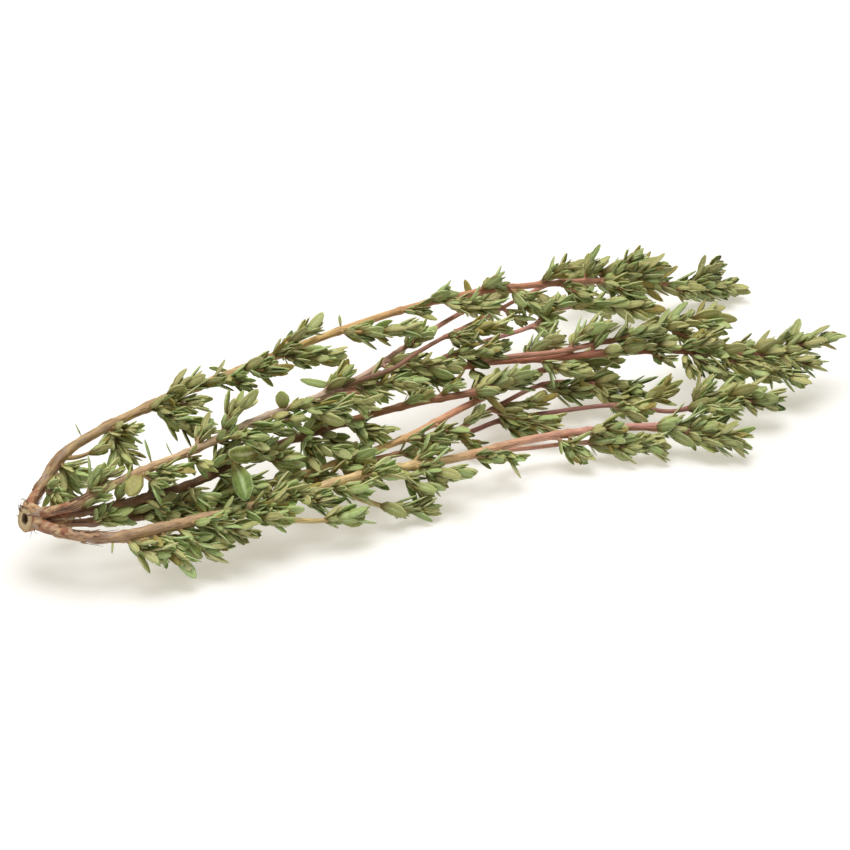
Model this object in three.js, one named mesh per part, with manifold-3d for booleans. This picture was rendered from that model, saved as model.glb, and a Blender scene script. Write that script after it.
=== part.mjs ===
// A bundle of cut thyme that lies on a flat surface: one woody crown, twelve long stems that branch
// from it, a leafy tip on each stem, and leafy side shoots. Millimetres, +Z up. The stem routes are
// given with x measured from the cut end, y across the bundle and z as height above the surface.

import * as THREE from "three";
import { mergeVertices } from "three/addons/utils/BufferGeometryUtils.js";
import Module from "manifold-3d";

const wasm = await Module();
wasm.setup();

// Driving dimensions
const gap = 0.3; // clearance between neighbouring pieces
const ringStep = 8; // distance between two rings of a stem
const limbStep = 4;
const stemSides = 6;
const crownSides = 10;
const twigSides = 4;
const twigStep = 5;
const startStep = 0.25; // step of the search for the start of a branch
const leaf = { length: 7, width: 2.3, thickness: 0.8, bend: 0.6 };
const restHeight = 0.1; // height of a leaf point that rests on the surface
const leafSpread = { base: 60, end: 28 }; // degrees from the twig, at its base and its end
const pairTurn = 45; // turn of the first pair of leaves about its twig
const tipPairStep = 7; // distance between two pairs of leaves on a leafy tip
const shootPairStep = 4.5;
const fewestPairs = 3;
const shortestTwig = 3;
const elbow = 0.6; // how much more steeply a side shoot leaves its stem than it ends
const pairMargin = { first: 1.2, last: 0.8 }; // from the end pairs of leaves to the twig's ends
const leafSizes = { tip: [1, 0.75], shoot: [0.8, 1] }; // at the twig's base and its end
const twigRadius = { base: 0.6, end: 0.35 };
const pith = { radius: 0.7, depth: 1.5 };
const cutEnd = { from: [-2, 3, 13.5], to: [4, 1, 14], radius: [2.7, 3.2] };

// Every stem: the stem it grows from, its radius at both ends, the length that is still part of the
// crown, the length of its leafy tip, its route, and its side shoots as [distance along the stem,
// turn about it in degrees (0 up, 90 to the front), lean away from it in degrees, reach].
const stems = [
  {
    parent: "crown",
    radii: [1.5, 0.75],
    limb: 9,
    tip: 44,
    route: [
      [0, 4, 14], [6, 9, 16], [13, 13, 20], [22, 14, 23], [38, 15, 26], [60, 18, 27], [82, 23, 27],
      [107, 28, 26], [129, 31, 24], [152, 34, 19.5], [173, 38, 13.5], [199, 37, 6], [212, 35, 2.8],
    ],
    shoots: [
      [16, 160, 125, 19], [29, 130, 90, 10], [41, 115, 65, 14], [73, 30, 30, 14], [78, 90, 60, 13],
      [94, 80, 50, 19], [125, 90, 50, 15], [137, 25, 30, 12], [147, 110, 65, 12],
    ],
  },
  {
    parent: "crown",
    radii: [1.4, 0.75],
    limb: 13,
    tip: 14,
    route: [
      [1, 1, 15], [7, -2.5, 16.5], [13, -3, 18], [25, -2, 20], [39, -2, 22], [55, 1.5, 23],
      [70, 4, 23], [86, 9.5, 22], [100, 17, 21.5], [119, 27.5, 20], [131, 34, 18.5], [140, 38.5, 17],
    ],
    shoots: [
      [47, -15, 40, 13], [68, 95, 60, 11], [76, 10, 35, 10], [86, 85, 65, 15], [106, 50, 70, 8],
    ],
  },
  {
    parent: 2,
    radii: [0.9, 0.6],
    tip: 34,
    route: [
      [80, 6, 22.7], [84, 3.5, 25], [92, 4, 25.5], [100, 9, 24.5], [111, 16, 22.5], [132, 28, 18.5],
      [152, 39, 15.5], [170, 48, 11], [195, 51, 6],
    ],
    shoots: [
      [44, 75, 70, 13],
    ],
  },
  {
    parent: 2,
    radii: [0.9, 0.6],
    tip: 26,
    route: [
      [77, 5.5, 22.5], [83, 9, 20], [91, 9, 18.5], [104, 13, 18], [122, 18.5, 17], [142, 23.5, 15],
      [154, 29.5, 14], [167, 31, 11.5], [180, 27, 8],
    ],
    shoots: [
      [40, 75, 60, 12], [70, 25, 35, 10],
    ],
  },
  {
    parent: 2,
    radii: [1, 0.65],
    tip: 36,
    route: [
      [67, 4, 23], [71, 7.5, 20.5], [78, 11, 18], [92, 14.5, 15], [111, 15.5, 14], [122, 13.5, 14.5],
      [138, 5.5, 15.5], [155, 1, 15], [173, -4.5, 13], [184, -11, 12], [205, -14.5, 13],
    ],
    shoots: [
      [56, 125, 90, 8], [69, -60, 35, 11], [111, 115, 40, 15],
    ],
  },
  {
    parent: 5,
    radii: [0.8, 0.6],
    tip: 26,
    route: [
      [122, 13.5, 14.5], [127, 9, 17], [137, 5, 17.5], [148, 4, 17.5], [160, 4, 16.5],
      [174, 7, 15], [187, 10, 13.5],
    ],
    shoots: [
      [33, 55, 40, 13],
    ],
  },
  {
    parent: "crown",
    radii: [1.25, 0.75],
    limb: 13,
    tip: 14,
    route: [
      [0, 2, 13.5], [7, -1, 14], [16, -3, 14], [36, -4.5, 15], [52, -0.5, 15.5], [77, 2.5, 15.5],
      [98, 2.5, 15.5], [112, 0.5, 15.5], [124, 2, 15.5],
    ],
    shoots: [
      [42, 5, 35, 11], [44, 100, 70, 13], [56, 90, 65, 10],
    ],
  },
  {
    parent: "crown",
    radii: [1.15, 0.65],
    limb: 11,
    tip: 16,
    route: [
      [0, 2, 12.5], [6, 0, 11.5], [14, -2, 10.5], [31, -3.5, 9], [50, -4, 9], [73, -5.5, 10.5],
      [89, -5.5, 12], [107, -0.5, 12.5], [128, 7, 11], [137, 9.5, 10.5], [156, 7.5, 9],
    ],
    shoots: [
      [22, 0, 30, 9], [73, 110, 50, 11], [90, 75, 55, 11],
    ],
  },
  {
    parent: 8,
    radii: [0.8, 0.55],
    tip: 18,
    route: [
      [71, -5.5, 10.5], [76, -3, 8.2], [85, -3, 7], [97, -3, 7], [107, -1, 7.5], [119, 3, 8],
      [137, 8, 7.5], [144, 4.5, 7.5], [155, -5.5, 7.5],
    ],
    shoots: [
      [49, 100, 65, 16],
    ],
  },
  {
    parent: 9,
    radii: [0.75, 0.55],
    tip: 24,
    route: [
      [100, -2.5, 7], [105, 0.5, 4.7], [113, 2, 4], [120, 3, 4], [132, -1, 5], [148, -7.5, 6],
      [157, -17, 6.5], [173, -19.5, 8], [181, -25, 7],
    ],
    shoots: [
      [50, 90, 25, 10], [57, -60, 60, 10],
    ],
  },
  {
    parent: "crown",
    radii: [1.4, 0.65],
    limb: 9,
    tip: 22,
    route: [
      [1, 0, 13], [6, -7, 12.5], [14, -12, 12], [26, -13, 11.5], [50, -13.5, 10.5], [75, -13, 10.5],
      [98, -14.5, 9], [118, -14, 8], [134, -16, 7], [146, -19.5, 6.5], [156, -26, 6], [165, -34, 5],
    ],
    shoots: [
      [15, -125, 15, 28], [51, 125, 25, 23], [72, 120, 32, 24], [92, 85, 40, 13], [130, 120, 60, 9],
    ],
  },
  {
    parent: 11,
    radii: [0.7, 0.5],
    tip: 18,
    route: [
      [107, -14.5, 8.5], [111, -12.5, 6.3], [119, -13, 5], [130, -15.5, 4.5], [140, -20.5, 4.5],
      [147, -25.5, 4],
    ],
    shoots: [],
  },
];

const colours = {
  crown: "#7d5f49",
  stems: [
    "#a98352", "#9a7458", "#a0605a", "#9c5c55", "#a3655c", "#a06058",
    "#7c5f4d", "#b1874c", "#a9744f", "#a5625c", "#a8845a", "#a06a5c",
  ],
  leaves: ["#52702f", "#5d7b3a", "#496530", "#668040"],
};

const up = new THREE.Vector3(0, 0, 1);

const mix = THREE.MathUtils.lerp;

const vector = (point) => new THREE.Vector3(...point);

// A three.js geometry as a solid, and a solid as a three.js geometry.
function solidOf(geometry) {
  geometry.deleteAttribute("normal");
  geometry.deleteAttribute("uv");
  const merged = mergeVertices(geometry, 1e-4);
  const mesh = new wasm.Mesh({
    numProp: 3,
    vertProperties: new Float32Array(merged.attributes.position.array),
    triVerts: new Uint32Array(merged.index.array),
  });
  return new wasm.Manifold(mesh);
}

function geometryOf(solid) {
  const mesh = solid.getMesh();
  const geometry = new THREE.BufferGeometry();
  geometry.setAttribute("position", new THREE.BufferAttribute(mesh.vertProperties, 3));
  geometry.setIndex(new THREE.BufferAttribute(mesh.triVerts, 1));
  geometry.computeVertexNormals();
  return geometry;
}

const boxOf = (solid) => new THREE.Box3().setFromArray(solid.getMesh().vertProperties);

// The direction of a curve at a fraction of its length, with the directions above it and to its
// front side, both square to it.
function frameAt(curve, fraction) {
  const tangent = curve.getTangentAt(THREE.MathUtils.clamp(fraction, 0, 1));
  const above = up.clone().addScaledVector(tangent, -up.dot(tangent)).normalize();
  const aside = new THREE.Vector3().crossVectors(tangent, above);
  return { tangent, above, aside };
}

// A direction square to a curve, turned about it: 0 is up and 90 degrees is to the front.
function outward({ above, aside }, turn) {
  const angle = THREE.MathUtils.degToRad(turn);
  return above.clone().multiplyScalar(Math.cos(angle)).addScaledVector(aside, Math.sin(angle));
}

// How many straight lengths a rod has, and the point at a distance along their straight axes.
const lengthsIn = (from, to, step) => Math.max(1, Math.round((to - from) / step));

function pointInside({ curve, from, to, step }, distance) {
  const length = curve.getLength();
  const lengths = lengthsIn(from, to, step);
  const position = ((distance - from) / (to - from)) * lengths;
  const ring = Math.min(lengths - 1, Math.floor(position));
  const [start, end] = [ring, ring + 1].map((i) => mix(from, to, i / lengths) / length);
  return curve.getPointAt(start).lerp(curve.getPointAt(Math.min(1, end)), position - ring);
}

// A round rod along a stretch of a curve, with its rings square to the curve.
function rod({ curve, from, to, step }, radiusAt, sides) {
  const length = curve.getLength();
  const rings = lengthsIn(from, to, step);
  const geometry = new THREE.CylinderGeometry(1, 1, 1, sides, rings);
  const position = geometry.attributes.position;
  for (let i = 0; i < position.count; i += 1) {
    const distance = mix(from, to, position.getY(i) + 0.5);
    const { above, aside } = frameAt(curve, distance / length);
    const radius = radiusAt(distance);
    const point = curve.getPointAt(Math.min(1, distance / length));
    point.addScaledVector(aside, position.getX(i) * radius);
    point.addScaledVector(above, position.getZ(i) * radius);
    position.setXYZ(i, point.x, point.y, point.z);
  }
  return solidOf(geometry);
}

// A flat, pointed leaf with a ridge along it. A margin makes it bigger all round.
function leafSolid(base, direction, facing, size, margin) {
  const across = new THREE.Vector3().crossVectors(direction, facing);
  const length = leaf.length * size + margin;
  const halfWidth = (leaf.width * size) / 2 + margin;
  const halfThickness = leaf.thickness / 2 + margin;
  const geometry = new THREE.SphereGeometry(1, 4, 3);
  const position = geometry.attributes.position;
  for (let i = 0; i < position.count; i += 1) {
    const along = (position.getY(i) + 1) / 2;
    const rise = position.getZ(i) * halfThickness - leaf.bend * size * along * along;
    const point = base.clone().addScaledVector(direction, along * length);
    point.addScaledVector(across, position.getX(i) * halfWidth);
    point.addScaledVector(facing, rise);
    position.setXYZ(i, point.x, point.y, Math.max(0, point.z));
  }
  return solidOf(geometry);
}

// Every piece so far, as { name, solid, box, colour }.
const pieces = [];

function addPiece(name, solid, colour) {
  const piece = { name, solid, box: boxOf(solid), colour };
  pieces.push(piece);
  return piece;
}

// Whether a solid stays clear of every piece except its own.
function isClear(solid, own) {
  const box = boxOf(solid);
  const near = pieces.filter((piece) => piece !== own && piece.box.intersectsBox(box));
  return near.every((piece) => piece.solid.intersect(solid).isEmpty());
}

// Adds one leaf to a piece. A leaf that would sink below the surface rests its point there. One
// that would touch another piece is folded forward and made smaller, or else left out.
function addLeaf(piece, base, tangent, side, spread, size) {
  for (const fold of [1, 0.75, 0.5]) {
    const angle = THREE.MathUtils.degToRad(spread * fold);
    const direction = tangent.clone().multiplyScalar(Math.cos(angle));
    direction.addScaledVector(side, Math.sin(angle));
    const length = leaf.length * size * fold;
    const lowest = (restHeight + leaf.bend - base.z) / length;
    direction.z = Math.max(direction.z, lowest);
    direction.normalize();
    const facing = tangent.clone().addScaledVector(direction, -tangent.dot(direction)).normalize();
    if (isClear(leafSolid(base, direction, facing, size * fold, gap), piece)) {
      piece.solid = piece.solid.add(leafSolid(base, direction, facing, size * fold, 0));
      piece.box = boxOf(piece.solid);
      return;
    }
  }
}

// Opposite pairs of leaves along a twig, each pair square to the last.
function addLeaves({ piece, stretch, pairs, sizes }) {
  const length = stretch.curve.getLength();
  for (let i = 0; i < pairs; i += 1) {
    const share = i / (pairs - 1);
    const distance = mix(stretch.from + pairMargin.first, stretch.to - pairMargin.last, share);
    const frame = frameAt(stretch.curve, distance / length);
    const base = pointInside(stretch, distance);
    const size = mix(...sizes, share);
    const spread = mix(leafSpread.base, leafSpread.end, share);
    for (const turn of [pairTurn + 90 * i, pairTurn + 90 * i + 180]) {
      addLeaf(piece, base, frame.tangent, outward(frame, turn), spread, size);
    }
  }
}

// The stems' curves and radii. A stem starts where it is clear of the stem that it grows from, and
// the five main stems start where the limbs of the crown end.
for (const stem of stems) {
  stem.curve = new THREE.CatmullRomCurve3(stem.route.map(vector));
  stem.length = stem.curve.getLength();
  stem.radiusAt = (distance) => mix(...stem.radii, Math.sqrt(Math.min(1, distance / stem.length)));
}

function startOf(stem) {
  if (stem.parent === "crown") {
    return stem.limb + gap;
  }
  const parent = stems[stem.parent - 1];
  const steps = Math.round(parent.length * 2);
  const points = parent.curve.getSpacedPoints(steps);
  const reaches = points.map((point, i) => {
    return parent.radiusAt((i / steps) * parent.length) + stem.radii[0] + gap;
  });
  let distance = 0;
  let start = stem.curve.getPointAt(0);
  while (points.some((point, i) => point.distanceTo(start) < reaches[i])) {
    distance += startStep;
    start = stem.curve.getPointAt(distance / stem.length);
  }
  return distance;
}

// The crown: a thick stub with a pith hole in its cut end, and the first part of five stems.
function crownSolid() {
  const [start, end] = [vector(cutEnd.from), vector(cutEnd.to)];
  const stub = new THREE.LineCurve3(start, end);
  const length = stub.getLength();
  const radiusAt = (distance) => mix(...cutEnd.radius, distance / length);
  let solid = rod({ curve: stub, from: 0, to: length, step: length }, radiusAt, crownSides);
  for (const stem of stems.filter((one) => one.parent === "crown")) {
    const limb = { curve: stem.curve, from: 0, to: stem.limb, step: limbStep };
    solid = solid.add(rod(limb, stem.radiusAt, stemSides));
  }
  const outside = start.clone().lerp(end, -pith.depth / length);
  const hole = new THREE.LineCurve3(outside, end);
  const cut = { curve: hole, from: 0, to: pith.depth * 2, step: length };
  return solid.subtract(rod(cut, () => pith.radius, stemSides));
}

addPiece("crown", crownSolid(), colours.crown);

stems.forEach((stem, index) => {
  const to = stem.length - stem.tip;
  const stretch = { curve: stem.curve, from: startOf(stem), to, step: ringStep };
  addPiece(`stem_${index + 1}`, rod(stretch, stem.radiusAt, stemSides), colours.stems[index]);
});

// Twigs first, then the leaves on them, so that every leaf can keep clear of every twig.
const twigs = [];

stems.forEach((stem, index) => {
  const colour = colours.leaves[index % colours.leaves.length];
  const from = stem.length - stem.tip + gap;
  const stretch = { curve: stem.curve, from, to: stem.length - leaf.length * 0.6, step: twigStep };
  const solid = rod(stretch, stem.radiusAt, twigSides);
  const piece = addPiece(`leafy_tip_${index + 1}`, solid, colour);
  const pairs = Math.round(stem.tip / tipPairStep) + 1;
  twigs.push({ piece, stretch, pairs, sizes: leafSizes.tip });
});

stems.forEach((stem, index) => {
  stem.shoots.forEach(([along, turn, lean, reach], count) => {
    const frame = frameAt(stem.curve, along / stem.length);
    const side = outward(frame, turn);
    const angle = THREE.MathUtils.degToRad(lean);
    const away = frame.tangent.clone().multiplyScalar(Math.cos(angle));
    away.addScaledVector(side, Math.sin(angle));
    const first = away.clone().addScaledVector(side, elbow).normalize();
    const offset = stem.radiusAt(along) + gap + twigRadius.base * Math.abs(first.dot(frame.tangent));
    const start = stem.curve.getPointAt(along / stem.length).addScaledVector(side, offset);
    const twigReach = Math.max(shortestTwig, reach - leaf.length * 0.7);
    const middle = start.clone().addScaledVector(first, twigReach / 2);
    const end = start.clone().addScaledVector(away, twigReach);
    const curve = new THREE.QuadraticBezierCurve3(start, middle, end);
    const length = curve.getLength();
    const radiusAt = (distance) => mix(twigRadius.base, twigRadius.end, distance / length);
    const stretch = { curve, from: 0, to: length, step: twigStep };
    const solid = rod(stretch, radiusAt, twigSides);
    const colour = colours.leaves[(index + count) % colours.leaves.length];
    const piece = addPiece(`side_shoot_${index + 1}_${count + 1}`, solid, colour);
    const pairs = Math.max(fewestPairs, Math.round(length / shootPairStep));
    twigs.push({ piece, stretch, pairs, sizes: leafSizes.shoot });
  });
});

twigs.forEach(addLeaves);

const bundle = new THREE.Group();
for (const { name, solid, colour } of pieces) {
  const material = new THREE.MeshStandardMaterial({ color: colour, roughness: 0.7, metalness: 0 });
  const mesh = new THREE.Mesh(geometryOf(solid), material);
  mesh.name = name;
  bundle.add(mesh);
}

// The origin is below the middle of the bundle, on the surface that it lies on.
const bounds = new THREE.Box3().setFromObject(bundle);
const centre = bounds.getCenter(new THREE.Vector3());
bundle.position.set(-centre.x, -centre.y, -bounds.min.z);

export default bundle;
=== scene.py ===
import math
import random

import bmesh
import bpy
import numpy as np
from mathutils import Matrix, Vector, noise


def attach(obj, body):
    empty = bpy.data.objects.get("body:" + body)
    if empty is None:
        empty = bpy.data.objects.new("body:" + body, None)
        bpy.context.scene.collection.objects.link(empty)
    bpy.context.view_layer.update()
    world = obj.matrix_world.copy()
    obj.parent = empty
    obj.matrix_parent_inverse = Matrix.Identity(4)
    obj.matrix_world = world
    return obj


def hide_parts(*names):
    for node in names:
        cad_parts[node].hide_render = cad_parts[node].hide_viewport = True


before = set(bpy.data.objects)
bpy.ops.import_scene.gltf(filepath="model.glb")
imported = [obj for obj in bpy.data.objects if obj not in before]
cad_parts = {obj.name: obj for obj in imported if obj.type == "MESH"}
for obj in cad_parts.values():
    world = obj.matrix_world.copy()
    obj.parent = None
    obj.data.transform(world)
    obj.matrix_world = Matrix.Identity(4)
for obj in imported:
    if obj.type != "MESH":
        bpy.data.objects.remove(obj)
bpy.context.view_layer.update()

mm = 0.001
up = Vector((0, 0, 1))
bundleOrigin = Vector((-104.34, -9.09, 0)) * mm  # where the routes are measured from


def paint(text):  # "#rrggbb" as the linear colour that a shader takes
    parts = [int(text[i : i + 2], 16) / 255 for i in (1, 3, 5)]
    return (*[p / 12.92 if p <= 0.04045 else ((p + 0.055) / 1.055) ** 2.4 for p in parts], 1)


def between(pair, share):
    return pair[0] + (pair[1] - pair[0]) * share


def colourAlong(colours, share):  # colours are evenly spaced
    spot = min(max(share, 0), 1) * (len(colours) - 1)
    i = min(int(spot), len(colours) - 2)
    first, second = paint(colours[i]), paint(colours[i + 1])
    return [between((a, b), spot - i) for a, b in zip(first, second)]


def fromCut(point):  # a point of the routes, in the frame
    return bundleOrigin + Vector(point) * mm


def squarePart(way, heading):  # a direction without its share along a heading
    return (way - heading * way.dot(heading)).normalized()


def squareTo(heading):  # above a heading, and to its front side
    above = squarePart(up, heading)
    return above, heading.cross(above)


def leaning(first, second, angle):  # from the first direction towards the second, in radians
    return first * math.cos(angle) + second * math.sin(angle)


def turnOf(direction, facing):  # lays a leaf along direction with its upper side to facing
    return Matrix((direction.cross(facing), direction, facing)).transposed().to_euler()[:]


def ringPairs(count):  # every corner of a ring with the next
    return [(i, (i + 1) % count) for i in range(count)]


def linked(name, data):
    item = bpy.data.objects.new(name, data)
    bpy.context.scene.collection.objects.link(item)
    return item


def reshape(mesh, change):  # change takes the open mesh, which is smooth afterwards
    shape = bmesh.new()
    shape.from_mesh(mesh)
    change(shape)
    shape.to_mesh(mesh)
    shape.free()
    mesh.polygons.foreach_set("use_smooth", [True] * len(mesh.polygons))


def faceOutwards(shape):
    bmesh.ops.recalc_face_normals(shape, faces=shape.faces)


def applied(holder, name):  # what an object's modifiers make of it, as a plain mesh
    bpy.context.view_layer.update()
    shown = holder.evaluated_get(bpy.context.evaluated_depsgraph_get())
    mesh = bpy.data.meshes.new_from_object(shown)
    spent = holder.data
    bpy.data.objects.remove(holder)
    bpy.data.meshes.remove(spent)
    mesh.name = name
    return mesh


def operators(operation):  # what two sockets give, and its reflected form
    def straight(self, other):
        return self.sheet.add("ShaderNodeMath", {0: self, 1: other}, operation=operation)

    def reflected(self, other):
        return self.sheet.add("ShaderNodeMath", {0: other, 1: self}, operation=operation)

    return straight, reflected


class Wire:  # an output socket that takes part in sums
    def __init__(self, sheet, socket):
        self.sheet = sheet
        self.socket = socket

    __add__, __radd__ = operators("ADD")
    __sub__, __rsub__ = operators("SUBTRACT")
    __mul__, __rmul__ = operators("MULTIPLY")


class Sheet:  # the node tree of one material, world or modifier
    def __init__(self, tree, look=None, material=None):
        self.tree = tree
        self.look = look
        self.material = material
        tree.nodes.clear()

    def add(self, kind, values=None, output=0, **settings):  # the settings come first
        node = self.tree.nodes.new(kind)
        for name, value in settings.items():
            setattr(node, name, value)
        for key, value in (values or {}).items():
            if isinstance(value, Wire):
                self.tree.links.new(value.socket, node.inputs[key])
            else:
                node.inputs[key].default_value = value
        return Wire(self, node.outputs[output] if node.outputs else None)

    def attribute(self, name, output="Fac"):  # what the mesh carries
        return self.add("ShaderNodeAttribute", output=output, attribute_name=name)

    def place(self):
        return self.add("ShaderNodeTexCoord", output="Object")

    def band(self, value, low, high):  # 0 below low, 1 above high, smooth between
        values = {"Value": value, "From Min": low, "From Max": high}
        return self.add("ShaderNodeMapRange", values, interpolation_type="SMOOTHSTEP")

    def noise(self, vector, scale, detail=2, roughness=0.5):
        values = {"Vector": vector, "Scale": scale, "Detail": detail, "Roughness": roughness}
        return self.add("ShaderNodeTexNoise", values)

    def vector(self, operation, values, output=0):
        return self.add("ShaderNodeVectorMath", values, output, operation=operation)

    def blend(self, factor, first, second, mode="MIX"):  # colours, or names of the look's own
        first, second = [paint(self.look[c]) if isinstance(c, str) else c for c in (first, second)]
        values = {0: factor, 6: first, 7: second}
        return self.add("ShaderNodeMix", values, 2, data_type="RGBA", blend_type=mode)

    def layered(self, tone, *layers):  # each layer is how much and of what
        for factor, colour in layers:
            tone = self.blend(factor, tone, colour)
        return tone

    def mixShaders(self, factor, first, second):
        return self.add("ShaderNodeMixShader", {0: factor, 1: first, 2: second})

    def output(self, shader):
        self.add("ShaderNodeOutputMaterial", {"Surface": shader})
        return self.material

    def finish(self, values, height):  # height is where the relief of the surface comes from
        relief = {"Height": height, "Distance": self.look["relief"]}
        values["Normal"] = self.add("ShaderNodeBump", relief)
        return self.output(self.add("ShaderNodeBsdfPrincipled", values))


def newSurface(name, look=None):
    material = bpy.data.materials.new(name)
    material.use_nodes = True
    return Sheet(material.node_tree, look, material)


studio = {
    "aim": (2.66 * mm, 6.91 * mm, 0),
    "azimuth": -29,
    "elevation": 30,
    "distance": 600 * mm,
    "lens": 104.2,
    "sky": 0.22,
    "lamps": {  # azimuth, elevation, distance, size and power
        "softboxAbove": (150, 80, 0.8, 0.7, 6.6),
        "fillFront": (-75, 42, 1.1, 0.5, 1.5),
    },
    "floorSide": 4.0,
    "paper": (0.88, 0.89, 0.93, 1),
    "whitePaper": (1.36, 1.27, 1.06, 1),  # what the camera sees of the floor in place of its light
    "floorWhite": 0.36,  # how much of the floor that the camera sees is that white
    "farFloor": (0.25, 0.6),  # from here to there the floor fades to all white
}


def aimed(item, azimuth, elevation, distance):  # turned to the bundle, from that side of it
    a, e = math.radians(azimuth), math.radians(elevation)
    aim = Vector(studio["aim"])
    out = Vector((math.sin(a) * math.cos(e), -math.cos(a) * math.cos(e), math.sin(e)))
    item.location = aim + out * distance
    item.rotation_euler = (aim - item.location).to_track_quat("-Z", "Y").to_euler()
    return item


def makeCamera():
    data = bpy.data.cameras.new("camera")
    data.lens = studio["lens"]
    data.clip_start = 0.01
    spot = (studio["azimuth"], studio["elevation"], studio["distance"])
    bpy.context.scene.camera = aimed(linked("camera", data), *spot)


def makeLamps():
    for name, (azimuth, elevation, distance, width, power) in studio["lamps"].items():
        data = bpy.data.lights.new(name, "AREA")
        data.shape = "DISK"
        data.size = width
        data.energy = power
        aimed(linked(name, data), azimuth, elevation, distance)


def makeFloor():
    sheet = newSurface("paperWhite")
    path = [sheet.add("ShaderNodeLightPath", output=f"Is {kind} Ray") for kind in ("Camera", "Glossy")]
    away = sheet.vector("LENGTH", {0: sheet.place()}, output="Value")
    near = studio["floorWhite"]
    white = near + sheet.band(away, *studio["farFloor"]) * (1 - near)
    matt = sheet.add("ShaderNodeBsdfDiffuse", {"Color": studio["paper"]})
    glow = sheet.add("ShaderNodeEmission", {"Color": studio["whitePaper"], "Strength": 1})
    material = sheet.output(sheet.mixShaders((path[0] + path[1]) * white, matt, glow))
    half = studio["floorSide"] / 2
    corners = [(-half, -half, 0), (half, -half, 0), (half, half, 0), (-half, half, 0)]
    mesh = bpy.data.meshes.new("paperFloor")
    mesh.from_pydata(corners, [], [(0, 1, 2, 3)])
    mesh.materials.append(material)
    floor = linked("paperFloor", mesh)


def makeSky():
    world = bpy.data.worlds.new("studioSky")
    world.use_nodes = True
    sheet = Sheet(world.node_tree)
    ray = sheet.add("ShaderNodeLightPath", output="Is Camera Ray")
    soft, plain = [
        sheet.add("ShaderNodeBackground", {"Color": (1, 1, 1, 1), "Strength": strength})
        for strength in (studio["sky"], 1)
    ]
    sheet.add("ShaderNodeOutputWorld", {"Surface": sheet.mixShaders(ray, soft, plain)})
    bpy.context.scene.world = world


makeCamera()
makeFloor()
makeSky()
makeLamps()
bpy.context.scene.view_settings.view_transform = "Standard"
print("studio ready")


leafSkin = {
    "deep": "#3f4b0a",
    "fresh": "#abb868",
    "young": "#dde4ac",
    "rib": "#c9cfa2",
    # the pale rolled margin, made brighter still as a painted highlight
    "paleMarginAndHighlight": "#ced4a4",
    "under": "#b6b97e",
    "foot": "#785a2a",  # where the leaf narrows to its stalk; its brown is partly the leaf's own colour, partly painted shade of the crowded middle of a cluster
    "wilted": "#b8b052",
    "dry": "#8a6a44",
    "coolHue": (0.9, 1.04, 0.88, 1),
    "warmHue": (1.13, 1.01, 0.92, 1),
    "darkSpeck": (0.65, 0.65, 0.62, 1),
    "lightSpeck": (1.3, 1.3, 1.3, 1),
    "mottleScale": 700,
    "speckScale": 3200,
    "hueScale": 260,
    "relief": 0.12 * mm,
}


def makeLeafSurface():
    sheet = newSurface("thymeLeaf", leafSkin)
    uv = sheet.add("ShaderNodeUVMap", uv_map="leafMap")
    along = sheet.add("ShaderNodeSeparateXYZ", {0: uv}, "X")
    across = sheet.add("ShaderNodeSeparateXYZ", {0: uv}, "Y")  # 0 midrib, 0.5 margin, 1 below
    tint = sheet.attribute("tint")
    wilt = sheet.attribute("wilt")
    place = sheet.place()
    mottle = sheet.noise(place, leafSkin["mottleScale"], 3)
    speck = sheet.noise(place, leafSkin["speckScale"], 2)
    below = sheet.band(across, 0.55, 0.68)
    rib = (1 - sheet.band(across, 0.02, 0.13)) + sheet.band(across, 0.88, 0.98)
    # a band on the upper side towards the margin: partly the leaf's pale margin, partly a painted
    # highlight
    edge = sheet.band(across, 0.3, 0.42) * (1 - below)
    green = sheet.layered(
        "deep",
        (sheet.band(tint * 0.75 + mottle * 0.5, 0.15, 0.85), "fresh"),
        (sheet.band(tint, 0.7, 1.0) * 0.8, "young"),
        (below * 0.75, "under"),
        (rib * (1 - sheet.band(along, 0.55, 1.05)) * 0.75, "rib"),
        (edge * (0.35 + mottle * 0.9), "paleMarginAndHighlight"),
        # the inner half of each leaf turns brown: partly its own colour, partly painted shade where the
        # leaves crowd round the twig
        ((1 - sheet.band(along, 0.0, 0.5)) * 0.85, "foot"),
    )
    warmth = sheet.band(wilt + sheet.noise(place, leafSkin["hueScale"], 2) * 0.3, 0.2, 0.55)
    hue = sheet.blend(warmth, leafSkin["coolHue"], leafSkin["warmHue"])
    green = sheet.blend(1.0, green, hue, "MULTIPLY")
    old = sheet.blend(mottle, "wilted", "dry")
    green = sheet.blend(sheet.band(wilt + mottle * 0.3, 0.55, 1.0), green, old)
    specks = sheet.blend(speck, leafSkin["darkSpeck"], leafSkin["lightSpeck"])
    values = {
        "Base Color": sheet.blend(1.0, green, specks, "MULTIPLY"),
        "Roughness": 0.5 + speck * 0.3,
        "Specular IOR Level": 0.32,
        "Subsurface Weight": 0.12,
        "Subsurface Scale": 0.6 * mm,
        "Subsurface Radius": (0.6, 1.0, 0.25),
    }
    return sheet.finish(values, speck + mottle)


barkSkin = {
    # pale streaks of the grain, partly a painted highlight on the ridges of the bark's relief
    "paleFibreAndHighlight": (1.36, 1.32, 1.22, 1),
    "darkFibre": (0.5, 0.42, 0.38, 1),
    "lichen": "#8c8f5a",
    "weathered": "#b09a8c",
    "stripped": "#6b4630",
    "knot": "#8a6044",
    "fibreScale": 2.6,  # scales of the grain round a stem
    "patchScale": 0.9,
    "weatherScale": 1.5,
    "alongScale": 130,  # how fast the grain changes along a stem
    "relief": 0.25 * mm,
}


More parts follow.
